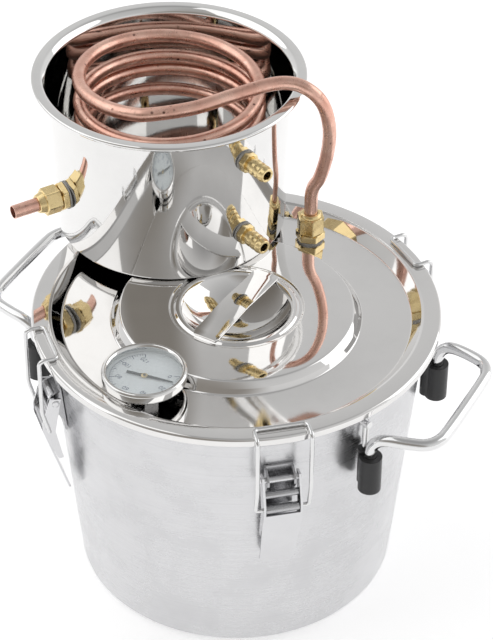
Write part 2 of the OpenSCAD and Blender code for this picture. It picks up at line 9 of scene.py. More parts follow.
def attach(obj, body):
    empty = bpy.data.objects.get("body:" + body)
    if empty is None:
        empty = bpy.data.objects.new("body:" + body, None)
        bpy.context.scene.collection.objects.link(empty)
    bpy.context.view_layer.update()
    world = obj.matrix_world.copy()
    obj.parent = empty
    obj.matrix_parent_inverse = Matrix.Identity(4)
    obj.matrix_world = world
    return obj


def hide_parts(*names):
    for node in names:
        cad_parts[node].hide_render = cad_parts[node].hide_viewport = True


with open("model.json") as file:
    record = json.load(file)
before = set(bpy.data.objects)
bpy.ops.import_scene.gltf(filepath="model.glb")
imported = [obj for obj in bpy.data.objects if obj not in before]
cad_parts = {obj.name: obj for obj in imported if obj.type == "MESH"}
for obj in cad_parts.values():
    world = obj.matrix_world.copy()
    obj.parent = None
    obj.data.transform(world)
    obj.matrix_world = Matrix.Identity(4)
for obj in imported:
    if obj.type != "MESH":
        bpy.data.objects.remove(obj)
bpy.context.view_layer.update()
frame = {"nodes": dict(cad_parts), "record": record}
MM = 0.001

# ---- shape helpers: points in millimetres, objects in metres -------------------------------------------


def piece(name, points, faces, body, material, replaces=(), sharp=40, place=None):
    """A mesh piece that rides on a body; its points are placed by a matrix in millimetres."""
    mesh = bpy.data.meshes.new(name)
    if place is not None:
        points = [place @ Vector(p) for p in points]
    mesh.from_pydata([tuple(c * MM for c in p) for p in points], [], faces)
    mesh.validate()
    mesh.shade_smooth()
    mesh.set_sharp_from_angle(angle=math.radians(sharp))
    obj = bpy.data.objects.new(name, mesh)
    bpy.context.scene.collection.objects.link(obj)
    mesh.materials.append(material)
    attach(obj, body)
    if replaces:
        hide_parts(*replaces)
    return obj


def rounded(corners, steps=5):
    """A closed outline whose corners (x, y, radius) are eased into arcs."""
    out = []
    n = len(corners)
    for i, (x, y, *rest) in enumerate(corners):
        r = rest[0] if rest else 0
        p = Vector((x, y))
        a = Vector(corners[i - 1][:2]) - p
        b = Vector(corners[(i + 1) % n][:2]) - p
        if r <= 0 or a.length < 1e-6 or b.length < 1e-6:
            out.append((x, y))
            continue
        u, v = a.normalized(), b.normalized()
        half = math.acos(max(-1, min(1, u.dot(v)))) / 2
        if half > math.radians(89) or half < 0.01:
            out.append((x, y))
            continue
        cut = min(r / math.tan(half), a.length * 0.49, b.length * 0.49)
        r = cut * math.tan(half)
        centre = p + (u + v).normalized() * r / math.sin(half)
        s, e = p + u * cut - centre, p + v * cut - centre
        turn = s.angle_signed(e)
        for k in range(steps + 1):
            q = Matrix.Rotation(-turn * k / steps, 2) @ s
            out.append(tuple(centre + q))
    return out


def bands(count, sides, closed=True):
    """The faces between neighbouring rings of points; closed joins the last to the first, open has caps."""
    faces = []
    for i in range(count if closed else count - 1):
        j = (i + 1) % count
        faces += [[i * sides + k, i * sides + (k + 1) % sides, j * sides + (k + 1) % sides, j * sides + k]
                  for k in range(sides)]
    if not closed:
        faces += [list(range(sides - 1, -1, -1)), [(count - 1) * sides + k for k in range(sides)]]
    return faces


def lathe(name, outline, body, material, segments=192, replaces=(), sharp=40, place=None):
    """A closed outline of (radius, height) turned round the Z axis."""
    outline = [(max(r, 0.0), z) for r, z in outline]
    points, ring = [], []
    for r, z in outline:
        if r < 1e-6:
            ring.append([len(points)] * segments)
            points.append((0, 0, z))
        else:
            ring.append(list(range(len(points), len(points) + segments)))
            angles = [2 * math.pi * k / segments for k in range(segments)]
            points += [(r * math.cos(t), r * math.sin(t), z) for t in angles]
    faces = []
    for i in range(len(outline)):
        a, b = ring[i], ring[(i + 1) % len(outline)]
        if a[0] == a[1] and b[0] == b[1]:
            continue
        for k in range(segments):
            after = (k + 1) % segments
            quad = [a[k], a[after], b[after], b[k]]
            faces.append([v for j, v in enumerate(quad) if v != quad[j - 1]])
    return piece(name, points, faces, body, material, replaces, sharp, place)


def nut(name, across, low, high, bore, body, material, place=None, replaces=(), ease=0.9, angle=0.0,
        top=None):
    """A hexagonal nut with turned-down corners, at an angle in radians; top adds an outline above it."""
    segments = 96
    flat = across / 2

    def hexed(t):
        t = (t - angle) % (math.pi / 3) - math.pi / 6
        return flat / math.cos(t)

    rings = [(low, "bore"), (low, "rim"), (low + ease * 0.55, "hex"), (high - ease * 0.55, "hex"),
             (high, "rim")]
    rings += [(z, r) for r, z in (top or [])] + [(top[-1][1] if top else high, "bore")]
    points = []
    for z, kind in rings:
        for k in range(segments):
            t = 2 * math.pi * k / segments
            if kind == "bore":
                r = bore
            elif kind == "rim":
                r = min(hexed(t), flat - 0.25)
            elif kind == "hex":
                r = min(hexed(t), flat / math.cos(math.pi / 6) - 0.2)
            else:
                r = kind
            points.append((r * math.cos(t), r * math.sin(t), z))
    return piece(name, points, bands(len(rings), segments), body, material, replaces, 22, place)


def along(path, side, start=None, end=None):
    """Frames (point, side, cross side) carried along a path without twist."""
    path = [Vector(p) for p in path]
    out, s = [], Vector(side)
    for i, p in enumerate(path):
        d = (path[min(i + 1, len(path) - 1)] - path[max(i - 1, 0)]).normalized()
        if i == 0 and start:
            d = Vector(start)
        if i == len(path) - 1 and end:
            d = Vector(end)
        s = (s - d * s.dot(d)).normalized()
        out.append((p, s.copy(), d.cross(s)))
    return out


def tube(name, path, r, body, material, side=(0, 0, 1), sides=24, inner=None, place=None,
         replaces=(), start=None, end=None):
    """A round rod along a path, with eased ends, or a tube when inner is given."""
    frames = along(path, side, start, end)
    d0 = Vector(start) if start else (Vector(path[1]) - Vector(path[0])).normalized()
    d1 = Vector(end) if end else (Vector(path[-1]) - Vector(path[-2])).normalized()
    ease = min(0.35, r * 0.3) if inner is None else 0.15
    first, last = frames[0], frames[-1]
    rings = [(first[0], first[1], first[2], r - ease), (first[0] + d0 * ease, first[1], first[2], r)]
    rings += [(p, s, c, r) for p, s, c in frames[1:-1]]
    rings += [(last[0] - d1 * ease, last[1], last[2], r), (last[0], last[1], last[2], r - ease)]
    if inner:
        rings += [(p, s, c, inner) for p, s, c in reversed(frames)]
    points = []
    for p, s, c, q in rings:
        for k in range(sides):
            t = 2 * math.pi * k / sides
            points.append(tuple(p + s * (q * math.cos(t)) + c * (q * math.sin(t))))
    faces = bands(len(rings), sides, inner is not None)
    return piece(name, points, faces, body, material, replaces, 35, place)


def spline(points, steps):
    """A smooth curve through given points; the first and last only set the end directions."""
    out = []
    pts = [Vector(p) for p in points]
    for i in range(1, len(pts) - 2):
        p0, p1, p2, p3 = pts[i - 1:i + 3]
        for k in range(steps):
            t = k / steps
            out.append(0.5 * (2 * p1 + (p2 - p0) * t + (2 * p0 - 5 * p1 + 4 * p2 - p3) * t * t
                              + (3 * p1 - p0 - 3 * p2 + p3) * t ** 3))
    return out + [pts[-2]]


def corner(a, b, c, r, steps):
    """The arc that rounds corner b of the path a-b-c."""
    a, b, c = Vector(a), Vector(b), Vector(c)
    u, v = (a - b).normalized(), (c - b).normalized()
    half = math.acos(u.dot(v)) / 2
    centre = b + (u + v).normalized() * (r / math.sin(half))
    spoke = b + u * (r / math.tan(half)) - centre
    out = []
    for k in range(steps + 1):
        t = (math.pi - 2 * half) * k / steps
        out.append(centre + spoke * math.cos(t) - u * (r * math.sin(t)))
    return out


def polar(r, az, z=0.0, at=(0.0, 0.0)):
    """A point at a radius, an angle in degrees and a height, round an upright axis."""
    return (at[0] + r * math.cos(math.radians(az)), at[1] + r * math.sin(math.radians(az)), z)


def turned(az, at=(0, 0, 0)):
    """Placement: turned by az degrees about Z, then moved to a point."""
    return Matrix.Translation(at) @ Matrix.Rotation(math.radians(az), 4, "Z")


def crosswise(at, way):
    """Placement of a turned part at a point, with its axis along Y, or against it when way is -1."""
    return Matrix.Translation(at) @ Matrix.Rotation(-way * math.pi / 2, 4, "X")


def eased(node, body, material, bevel, segments=2):
    """A copy of a CAD node with its coplanar faces merged and its edges rounded."""
    source = frame["nodes"][node]
    obj = bpy.data.objects.new(node + "_eased", source.data.copy())
    bpy.context.scene.collection.objects.link(obj)
    bm = bmesh.new()
    bm.from_mesh(obj.data)
    bmesh.ops.remove_doubles(bm, verts=bm.verts, dist=0.000002)
    bmesh.ops.dissolve_limit(bm, angle_limit=math.radians(1.0), verts=bm.verts, edges=bm.edges)
    bm.to_mesh(obj.data)
    bm.free()
    for old in [a.name for a in obj.data.attributes if a.name.startswith("custom_normal")]:
        obj.data.attributes.remove(obj.data.attributes[old])
    obj.data.shade_smooth()
    obj.data.set_sharp_from_angle(angle=math.radians(35))
    mod = obj.modifiers.new("edges", "BEVEL")
    mod.width = bevel * MM
    mod.segments = segments
    mod.limit_method = "ANGLE"
    mod.angle_limit = math.radians(30)
    mod.harden_normals = False
    obj.data.materials.clear()
    obj.data.materials.append(material)
    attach(obj, body)
    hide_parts(node)
    return obj


# ---- materials -----------------------------------------------------------------------------------------


class Shader:
    """A node material on one Principled shader, in object coordinates, which are the row frame's."""

    def __init__(self, name, **sockets):
        self.material = bpy.data.materials.new(name)
        self.material.use_nodes = True
        self.tree = self.material.node_tree
        self.bsdf = self.tree.nodes["Principled BSDF"]
        for key, value in sockets.items():
            self.bsdf.inputs[key.replace("_", " ")].default_value = value
        self.coords = self.node("ShaderNodeTexCoord").outputs["Object"]

    def node(self, kind, inputs=None, **props):
        made = self.tree.nodes.new(kind)
        for key, value in props.items():
            setattr(made, key, value)
        for key, value in (inputs or {}).items():
            socket = made.inputs[key]
            if isinstance(value, bpy.types.NodeSocket):
                self.tree.links.new(value, socket)
            else:
                socket.default_value = value
        return made

    def to(self, socket, output):
        self.tree.links.new(output, self.bsdf.inputs[socket])
        return self

    def stretched(self, scale):
        return self.node("ShaderNodeMapping", {"Vector": self.coords, "Scale": scale}).outputs["Vector"]

    def noise(self, scale, detail=3.0, rough=0.55, vector=None, distortion=0.0):
        return self.node("ShaderNodeTexNoise", {
            "Vector": vector or self.coords, "Scale": scale, "Detail": detail, "Roughness": rough,
            "Distortion": distortion}).outputs["Fac"]

    def spread(self, value, low, high, out_low=0.0, out_high=1.0):
        return self.node("ShaderNodeMapRange", {
            "Value": value, "From Min": low, "From Max": high, "To Min": out_low, "To Max": out_high},
            interpolation_type="SMOOTHSTEP").outputs["Result"]

    def math(self, how, a, b):
        return self.node("ShaderNodeMath", {0: a, 1: b}, operation=how).outputs[0]

    def mix(self, factor, a, b):
        made = self.node("ShaderNodeMix", data_type="RGBA")
        for index, value in ((0, factor), (6, a), (7, b)):
            if isinstance(value, bpy.types.NodeSocket):
                self.tree.links.new(value, made.inputs[index])
            else:
                made.inputs[index].default_value = value
        return made.outputs[2]

    def bump(self, *layers):
        normal = None
        for height, distance in layers:
            inputs = {"Height": height, "Distance": distance * MM, "Strength": 1.0}
            if normal is not None:
                inputs["Normal"] = normal
            normal = self.node("ShaderNodeBump", inputs).outputs["Normal"]
        return self.to("Normal", normal)


def rgb(r, g, b):
    return (r, g, b, 1.0)


def polished(name, tone=(0.80, 0.795, 0.785), rough=0.035, wave=0.05, smear=0.05):
    m = Shader(name, Metallic=1.0)
    smudge = m.noise(22, 5, 0.6)
    fine = m.noise(1400, 2, 0.5)
    haze = m.spread(smudge, 0.48, 0.75, 0.0, smear)
    grain = m.spread(fine, 0.3, 0.7, rough * 0.7, rough * 1.4)
    m.to("Roughness", m.math("ADD", haze, grain))
    tint = m.mix(m.spread(smudge, 0.35, 0.7), rgb(*tone), rgb(*[c * 0.955 for c in tone]))
    m.to("Base Color", tint)
    scratch = m.noise(260, 2, 0.5, m.stretched((1.0, 9.0, 3.0)), 0.4)
    m.bump((m.noise(11, 2, 0.5), wave), (m.noise(75, 2, 0.5), wave * 0.05), (scratch, 0.0012))
    return m.material


def satin():
    """Sheet with a fine turned finish: faint rings round the wall and soft mottling."""
    m = Shader("boiler_satin_steel", Metallic=1.0)
    lines = m.noise(9, 4, 0.7, m.stretched((0.6, 0.6, 260.0)))
    mottle = m.noise(34, 5, 0.6)
    broad = m.noise(5, 2, 0.5)
    base = m.mix(m.spread(mottle, 0.35, 0.7), rgb(0.68, 0.68, 0.69), rgb(0.635, 0.635, 0.645))
    base = m.mix(m.spread(lines, 0.42, 0.68, 0.0, 0.35), base, rgb(0.575, 0.575, 0.585))
    m.to("Base Color", base)
    rough = m.math("ADD", m.spread(broad, 0.3, 0.7, 0.19, 0.25), m.spread(mottle, 0.4, 0.7, 0.0, 0.06))
    m.to("Roughness", m.math("ADD", rough, m.spread(lines, 0.3, 0.7, 0.0, 0.05)))
    m.bump((broad, 0.10), (m.noise(30, 3, 0.5), 0.008), (lines, 0.0022))
    return m.material


def copper_tube():
    m = Shader("copper_tube", Metallic=1.0)
    cloud = m.noise(42, 5, 0.65)
    blot = m.noise(150, 4, 0.7, distortion=0.8)
    speck = m.node("ShaderNodeTexVoronoi", {"Vector": m.coords, "Scale": 210.0, "Randomness": 1.0})
    base = m.mix(m.spread(cloud, 0.3, 0.72), rgb(0.90, 0.585, 0.475), rgb(0.70, 0.385, 0.30))
    base = m.mix(m.spread(blot, 0.60, 0.74, 0.0, 0.7), base, rgb(0.33, 0.16, 0.12))
    spots = m.math("MULTIPLY", m.spread(speck.outputs["Distance"], 0.30, 0.10, 0.0, 1.0),
                   m.spread(m.noise(60, 3, 0.6), 0.56, 0.66))
    base = m.mix(spots, base, rgb(0.13, 0.06, 0.05))
    bright = m.spread(m.noise(95, 3, 0.6), 0.60, 0.72, 0.0, 0.55)
    base = m.mix(bright, base, rgb(0.93, 0.66, 0.55))
    m.to("Base Color", base)
    rough = m.math("ADD", m.spread(blot, 0.4, 0.75, 0.27, 0.46), m.math("MULTIPLY", spots, 0.2))
    m.to("Roughness", rough)
    draw = m.noise(700, 2, 0.5)
    m.bump((m.noise(85, 3, 0.55), 0.10), (blot, 0.05), (draw, 0.006))
    return m.material


def brass_turned(name="brass_turned", tone=(0.80, 0.63, 0.33)):
    m = Shader(name, Metallic=1.0)
    stain = m.noise(130, 5, 0.65)
    dark = tuple(c * k for c, k in zip(tone, (0.70, 0.62, 0.50)))
    light = tuple(min(1, c * k) for c, k in zip(tone, (1.12, 1.16, 1.35)))
    base = m.mix(m.spread(stain, 0.52, 0.75, 0.0, 0.75), rgb(*tone), rgb(*dark))
    base = m.mix(m.spread(m.noise(260, 3, 0.6), 0.6, 0.74, 0.0, 0.5), base, rgb(*light))
    m.to("Base Color", base)
    m.to("Roughness", m.math("ADD", m.spread(stain, 0.35, 0.7, 0.14, 0.30),
                             m.spread(m.noise(900, 2, 0.5), 0.3, 0.7, 0.0, 0.07)))
    m.bump((m.noise(240, 3, 0.6), 0.02), (m.noise(1500, 2, 0.5), 0.003))
    return m.material


def moulded(name, tone, rough, grain, sheen=0.0):
    m = Shader(name, Specular_IOR_Level=0.5)
    cloud = m.noise(90, 4, 0.6)
    base = m.mix(m.spread(cloud, 0.3, 0.7), rgb(*tone), rgb(*[c * 0.8 + sheen for c in tone]))
    m.to("Base Color", base)
    m.to("Roughness", m.spread(m.noise(450, 3, 0.6), 0.3, 0.7, rough * 0.85, rough * 1.15))
    m.bump((m.noise(1300, 2, 0.6), grain), (cloud, grain * 2))
    return m.material


def enamel(name, tone, rough=0.3):
    m = Shader(name)
    cloud = m.noise(60, 3, 0.6)
    m.to("Base Color", m.mix(m.spread(cloud, 0.3, 0.75), rgb(*tone), rgb(*[c * 0.93 for c in tone])))
    m.to("Roughness", m.spread(m.noise(500, 2, 0.5), 0.3, 0.7, rough * 0.8, rough * 1.2))
    m.bump((m.noise(700, 2, 0.5), 0.002))
    return m.material


def clear_glass():
    m = Shader("clear_glass", Alpha=0.14, IOR=1.5)
    m.bsdf.inputs["Base Color"].default_value = rgb(0.90, 0.95, 0.96)
    m.to("Roughness", m.spread(m.noise(40, 4, 0.6), 0.45, 0.75, 0.015, 0.09))
    return m.material


MIRROR = polished("mirror_steel")
MIRROR_LID = polished("mirror_steel_lid", (0.79, 0.78, 0.77), 0.035, 0.035, 0.05)
ROD = polished("bright_steel_rod", (0.78, 0.78, 0.78), 0.09, 0.02, 0.08)
WIRE = polished("drawn_steel_wire", (0.76, 0.76, 0.76), 0.12, 0.01, 0.08)
PRESSED = polished("pressed_steel", (0.69, 0.69, 0.70), 0.13, 0.02, 0.10)
# Latch base plates and lever rolls: the same steel as the rest, given a darker tone as painted shade for the
# shade inside the latches.
PAINTED_SHADE_PLATE = polished("latch_plate_steel_painted_shade", (0.46, 0.46, 0.47), 0.2, 0.02, 0.12)
SATIN = satin()
COPPER = copper_tube()
BRASS = brass_turned()
BLACK = moulded("black_plastic", (0.010, 0.010, 0.011), 0.38, 0.004, 0.004)
SILICONE = moulded("white_silicone", (0.42, 0.41, 0.39), 0.45, 0.004)
DIAL = enamel("dial_enamel", (0.84, 0.88, 0.90))
INK = enamel("dial_ink", (0.05, 0.07, 0.14), 0.4)
POINTER = enamel("pointer_black", (0.015, 0.015, 0.017), 0.35)
GLASS = clear_glass()
BY_SLOT = {"boiler_steel": SATIN, "polished_steel": PRESSED, "latch_wire": WIRE, "copper": COPPER,
           "brass": BRASS, "black_sleeve": BLACK, "silicone": SILICONE, "dial_white": DIAL,
           "pointer_black": POINTER, "lens_glass": GLASS}
for row in frame["record"]["subparts"]:
    node = frame["nodes"][row["node"]]
    node.data.materials.clear()
    node.data.materials.append(BY_SLOT[row["material_slot"]])
    node.data.shade_smooth()
    node.data.set_sharp_from_angle(angle=math.radians(35))

# ---- boiler --------------------------------------------------------------------------------------------

# Heights of the lid's rim, the boiler's flange and the lid's low panel. The wall grows from BASE_R by LEAN
# for each millimetre of height.
RIM, FLANGE, PANEL = 205.0, 200.0, 197.0
BASE_R, LEAN, FLANGE_R, SHEET = 108.3, 0.0883, 132.8, 1


def wall_r(z):
    return BASE_R + LEAN * z


lathe("boiler_shell", rounded([
    (0, 0), (BASE_R - 9, 0, 6), (BASE_R - 5.2, 0.15, 3), (wall_r(5), 5.2, 5),
    (wall_r(FLANGE - 3.2), FLANGE - 3.2, 2), (FLANGE_R - 2.4, FLANGE - 2.2, 1),
    (FLANGE_R - 1.6, FLANGE - 3.4, 0.8), (FLANGE_R, FLANGE - 3.2, 1.2), (FLANGE_R, FLANGE, 1.1),
    (wall_r(FLANGE) - SHEET, FLANGE, 1.4), (wall_r(5) - SHEET, 5.4, 4), (BASE_R - 6, SHEET, 3), (0, SHEET)]),
    "boiler", SATIN, 256, ("boiler_pot",), 50)

# The sleeves' outer barrels, then the handle's furthest reach, the height of its bar and its rod's radius.
SLEEVE_X, SLEEVE_Y, SLEEVE_LOW, SLEEVE_TOP = 123.6, 52.6, 138, 165
REACH, BAR_Z, HANDLE_R = 165, 182.5, 3.95
half = [(SLEEVE_X, SLEEVE_Y, SLEEVE_LOW - 4), (SLEEVE_X, SLEEVE_Y, SLEEVE_LOW + 4),
        (SLEEVE_X, SLEEVE_Y, SLEEVE_TOP - 4), (SLEEVE_X, SLEEVE_Y, SLEEVE_TOP + 3.5),
        (SLEEVE_X + 1.6, SLEEVE_Y + 0.2, BAR_Z - 7.5), (SLEEVE_X + 6, SLEEVE_Y + 0.2, BAR_Z - 2.5),
        (SLEEVE_X + 12.5, SLEEVE_Y - 0.6, BAR_Z - 0.5), (REACH - 18, 49.8, BAR_Z), (REACH - 7.6, 46, BAR_Z),
        (REACH - 1.9, 38.4, BAR_Z), (REACH, 25, BAR_Z)]
handle_path = spline(half + [(x, -y, z) for x, y, z in reversed(half)], 8)
for side_name, az in (("right", 0), ("left", 180)):
    tube("handle_%s_rod" % side_name, handle_path, HANDLE_R, "boiler", ROD, (1, 0, 0), 28,
         place=turned(az), replaces=("handle_rod_" + side_name,), start=(0, 0, 1), end=(0, 0, -1))
eased("handle_sleeves", "boiler", BLACK, 0.9, segments=3)
eased("handle_bracket_rods", "boiler", ROD, 0.3)

# ---- latches -------------------------------------------------------------------------------------------

# Radius and height of the lever's hinge, of the bail's pivot on it and of the point midway between them.
HINGE, THROW, START = (128.5, 165.0), 20, math.radians(-72)
PIVOT = (HINGE[0] + THROW * math.cos(START), HINGE[1] + THROW * math.sin(START))
MIDDLE = ((HINGE[0] + PIVOT[0]) / 2, (HINGE[1] + PIVOT[1]) / 2)
CHEEK_Y, ROLL_Y, PIN_END = 12.6, 10.9, 10.0
# The bail: its wire's radius, its half width, how far out its legs stand, and the bar hooked over the rim.
WIRE_R, BAIL_Y, LEG_R, HOOK_R, HOOK_Z = 1.4, 17.2, 139, 126.4, 206.7
half = [(PIVOT[0], PIN_END, PIVOT[1]), (PIVOT[0], BAIL_Y, PIVOT[1]), (LEG_R, BAIL_Y, PIVOT[1] + 18),
        (LEG_R, BAIL_Y, HOOK_Z), (HOOK_R, BAIL_Y, HOOK_Z)]
bends = half + [(x, -y, z) for x, y, z in reversed(half)]
bail_path = [Vector(bends[0])]
for i, bend_r in enumerate((2.2, 24, 3.6, 3.6, 3.6, 3.6, 24, 2.2)):
    bail_path += corner(bends[i], bends[i + 1], bends[i + 2], bend_r, 8)
bail_path.append(Vector(bends[-1]))
for name, az in (("front", -50.0), ("left", -133.5), ("back", 54.5)):
    eased("latch_base_" + name, "boiler", PAINTED_SHADE_PLATE, 0.3)
    eased("latch_lever_" + name, "lever_" + name, PRESSED, 0.35)
    tube("bail_%s_wire" % name, bail_path, WIRE_R, "bail_" + name, WIRE, (1, 0, 0), 16,
         place=turned(az), replaces=("latch_bail_" + name,), start=(0, 1, 0), end=(0, 1, 0))
    for y, label in ((-1, "a"), (1, "b")):
        lathe("hinge_head_%s_%s" % (name, label), rounded([
            (0, 0), (2.6, 0, 0.3), (2.6, 0.25, 0.2), (1.6, 0.7, 0.6), (0, 0.75)]),
            "boiler", PRESSED, 24, (), 50,
            turned(az) @ crosswise((HINGE[0], y * (CHEEK_Y + 0.02), HINGE[1]), y))
    for label, (x, z), roll_r in (("pivot", PIVOT, 2.9), ("middle", MIDDLE, 2.5)):
        lathe("lever_%s_%s_roll" % (name, label), rounded([
            (0, -ROLL_Y), (roll_r, -ROLL_Y, 0.5), (roll_r, ROLL_Y, 0.5), (0, ROLL_Y)]),
            "lever_" + name, PAINTED_SHADE_PLATE, 32, (), 50, turned(az) @ crosswise((x, 0, z), 1))

# ---- lid -----------------------------------------------------------------------------------------------

# The sunk dish is cut from a ball; CHANNEL and DISC are the levels of the ring channel and the raised disc.
DISH_R, DISH_DEPTH, CHANNEL, DISC, RIM_R = 37.0, 19.0, 203.75, 204.6, 135.0
BALL_R = (DISH_R ** 2 + DISH_DEPTH ** 2) / (2 * DISH_DEPTH)
BALL_Z = RIM - DISH_DEPTH + BALL_R
DISH_STEPS = 16


def dish(r, k):
    """A point of the sunk dish, k steps out from its middle, at a distance r from the ball's centre."""
    t = math.asin(DISH_R / BALL_R) * k / DISH_STEPS
    return (r * math.sin(t), BALL_Z - r * math.cos(t))


lid_profile = [dish(BALL_R, k) for k in range(DISH_STEPS)] + rounded([
    (36.6, RIM - 0.4, 0), (37.8, RIM, 0.9), (39.8, RIM, 1.2), (41.6, CHANNEL, 1.0), (43.6, CHANNEL, 0.9),
    (44.6, DISC, 0.9), (77.2, DISC, 2.2), (80.6, PANEL + 3.4, 1.2), (82.8, PANEL, 1.8), (115.4, PANEL, 2.4),
    (121.8, RIM - 0.8, 1.6), (123.6, RIM, 1.0), (RIM_R - 1.2, RIM, 1.4), (RIM_R, RIM - 1.4, 1.2),
    (RIM_R, RIM - 5.5, 0.3), (RIM_R - SHEET, RIM - 5.5, 0.3), (RIM_R - SHEET, RIM - 1.8, 0.5),
    (RIM_R - 2, RIM - SHEET, 0.6), (124.6, RIM - SHEET, 0.8), (123.2, RIM - 1.6, 0.8),
    (116.6, PANEL - 0.6, 1.5), (115.2, PANEL - SHEET, 0.8), (82.4, PANEL - SHEET, 1.2), (77, DISC - 1.2, 1.5),
    (76, DISC - SHEET, 0.5), (45.4, DISC - SHEET, 0.6), (44.4, CHANNEL - SHEET, 0.8),
    (40.6, CHANNEL - SHEET, 0.6), (39.2, RIM - SHEET, 0.6), (38.0, RIM - SHEET, 0.5)])
lid_profile += [dish(BALL_R + SHEET, k) for k in range(DISH_STEPS, -1, -1)]
lathe("lid_pressing", lid_profile, "lid", MIRROR_LID, 288, ("lid",), 60)

# The grip strap: its resting height, the height of its arch, half the arch's width, and its direction.
STRAP_Z, ARCH, ARCH_HALF, STRAP_AZ = 205.72, 1.45, 33.0, 86.5
stations = [9, 16, 22, 27, 31, 34.5, 37.5, 40.4]
stations = [-x for x in reversed(stations)] + [0] + stations
section = rounded([(-9.5, -0.6, 0.5), (9.5, -0.6, 0.5), (9.5, 0.6, 0.5), (-9.5, 0.6, 0.5)], 3)
strap_points = []
for x in stations:
    mid_z = STRAP_Z + ARCH * 0.5 * (1 + math.cos(math.pi * min(1, abs(x) / ARCH_HALF)))
    narrow = 0.86 if x in (stations[0], stations[-1]) else 1.0
    strap_points += [(x, across * narrow, mid_z + up * narrow) for across, up in section]
piece("grip_strap_plate", strap_points, bands(len(stations), len(section), False), "lid",
      MIRROR_LID, ("lid_grip_strap",), 40, turned(STRAP_AZ))

# ---- brass unions and fittings -------------------------------------------------------------------------

# The union on the lid and its bore, the condenser's axis, floor, top and taper, and the outlet in its wall.
UNION, UNION_BORE = polar(100, 87), 4.84
COND, COND_Z, COND_TOP, COND_R, COND_LEAN = (-87.6, 71.1), 205.1, 320.8, 78.3, 0.0411
OUTLET_AZ, OUTLET_Z, OUTLET_BORE, TAIL_AZ = -121.5, 250.1, 4.78, -24.5


def cond_r(z):
    return COND_R + COND_LEAN * (z - COND_Z)


def outward(az, z):
    """Placement of a fitting whose axis points out through the condenser wall."""
    return (turned(az, (*COND, z)) @ Matrix.Translation((cond_r(z), 0, 0))
            @ Matrix.Rotation(math.pi / 2, 4, "Y"))


def ridges(r, root, z, pitch, drop, count):
    """The outline of a thread drawn as shallow rings, each from its crest down to its root."""
    return [point for k in range(count) for point in ((r, z + pitch * k), (root, z + drop + pitch * k))]


at_union = Matrix.Translation(UNION)
nut("lid_union_hex", 18, PANEL + 1.5, PANEL + 7, UNION_BORE, "lid", BRASS, at_union,
    ("lid_union_body",), angle=0.3)
lathe("lid_union_spigot", [(UNION_BORE, PANEL + 6.9), (6.0, PANEL + 6.9)]
      + ridges(6.0, 5.55, PANEL + 7.1, 0.75, 0.35, 7) + [(5.9, PANEL + 12.4), (UNION_BORE, PANEL + 12.5)],
      "lid", BRASS, 64, (), 25, at_union)
lathe("lid_union_tail", [(UNION_BORE, PANEL - 13.8), (5.6, PANEL - 13.8), (6, PANEL - 13.2), (6, PANEL + 1.4),
                         (UNION_BORE, PANEL + 1.4)], "lid", BRASS, 64, (), 30, at_union)
nut("union_nut_hex", 17, PANEL + 7.2, PANEL + 20.0, UNION_BORE, "union_nut", BRASS, at_union,
    ("union_nut",), angle=0.1,
    top=[(7.35, PANEL + 20.05), (7.1, PANEL + 20.9), (6.4, PANEL + 21.9), (5.9, PANEL + 22.2)])

# From here, a fitting's heights are distances out from the condenser's wall.
outlet = outward(OUTLET_AZ, OUTLET_Z)
nut("outlet_hex", 18, 1.6, 6.0, OUTLET_BORE, "condenser", BRASS, outlet, ("outlet_bulkhead",),
    angle=0.2)
lathe("outlet_spigot", [(OUTLET_BORE, 5.9), (6.45, 5.9), (6.45, 12.4), (6.2, 12.6), (OUTLET_BORE, 12.6)],
      "condenser", BRASS, 64, (), 30, outlet)
lathe("outlet_inner_thread", [(OUTLET_BORE, -8.2), (6.1, -8.2), (6.45, -7.8)]
      + ridges(6.45, 6.05, -7.6, 0.95, 0.45, 9) + [(6.45, 1.65), (OUTLET_BORE, 1.65)],
      "condenser", BRASS, 64, (), 25, outlet)
nut("outlet_nut_hex", 17, 6.6, 17.6, OUTLET_BORE, "condenser", BRASS, outlet,
    ("outlet_compression_nut",), angle=0.514,
    top=[(7.55, 17.7), (7.3, 18.6), (6.7, 20.4), (6.3, 21.6), (5.8, 22.1)])
tail_outline = [(3, -9), (4.7, -9), (5, -8.6)] + ridges(5, 4.6, -8.2, 1.1, 0.55, 8) + [
    (5, 1.2), (5, 6.6), (4.6, 6.6), (4.55, 8.1), (5.55, 9.0), (5.6, 9.3), (5.6, 11.1), (5.45, 11.4),
    (4.9, 13.3), (5.55, 13.8), (5.6, 14.0), (5.6, 15.7), (5.45, 16.0), (4.9, 17.9), (5.55, 18.4),
    (5.6, 18.7), (5.6, 20.2), (5.45, 20.6), (4.75, 22.7), (4.4, 23), (3.3, 23), (3, 22.6)]
for label, z in (("upper", 294.1), ("lower", 235.6)):
    place = outward(TAIL_AZ, z)
    lathe("hose_tail_%s_turned" % label, tail_outline, "condenser", BRASS, 64,
          ("hose_tail_" + label,), 22, place)
    nut("hose_tail_%s_hex" % label, 12.6, 1.5, 6.0, 4.6, "condenser", BRASS, place, (), 0.7, 0.25)

# ---- condenser -----------------------------------------------------------------------------------------

top_r = cond_r(COND_TOP)
lathe("condenser_shell", rounded([
    (0, COND_Z), (75.6, COND_Z, 1), (cond_r(COND_Z + 2.6), COND_Z + 2.4, 2.6),
    (top_r - 0.1, COND_TOP - 5, 3), (top_r + 2.2, COND_TOP - 1.4, 2.2), (88.6, COND_TOP - 1.6, 1.0),
    (89.0, COND_TOP - 2.9, 0.8), (91.2, COND_TOP - 3.1, 1.1), (92, COND_TOP - 1.4, 1.2),
    (91.2, COND_TOP, 1.3), (top_r + 2, COND_TOP, 2.6), (top_r - 1.1, COND_TOP - 3.6, 4),
    (cond_r(COND_Z + 3) - SHEET, COND_Z + 3.2, 2.4), (74.6, COND_Z + SHEET, 2), (0, COND_Z + SHEET)], 7),
    "condenser", MIRROR, 288, ("condenser_pot",), 60, Matrix.Translation((*COND, 0)))

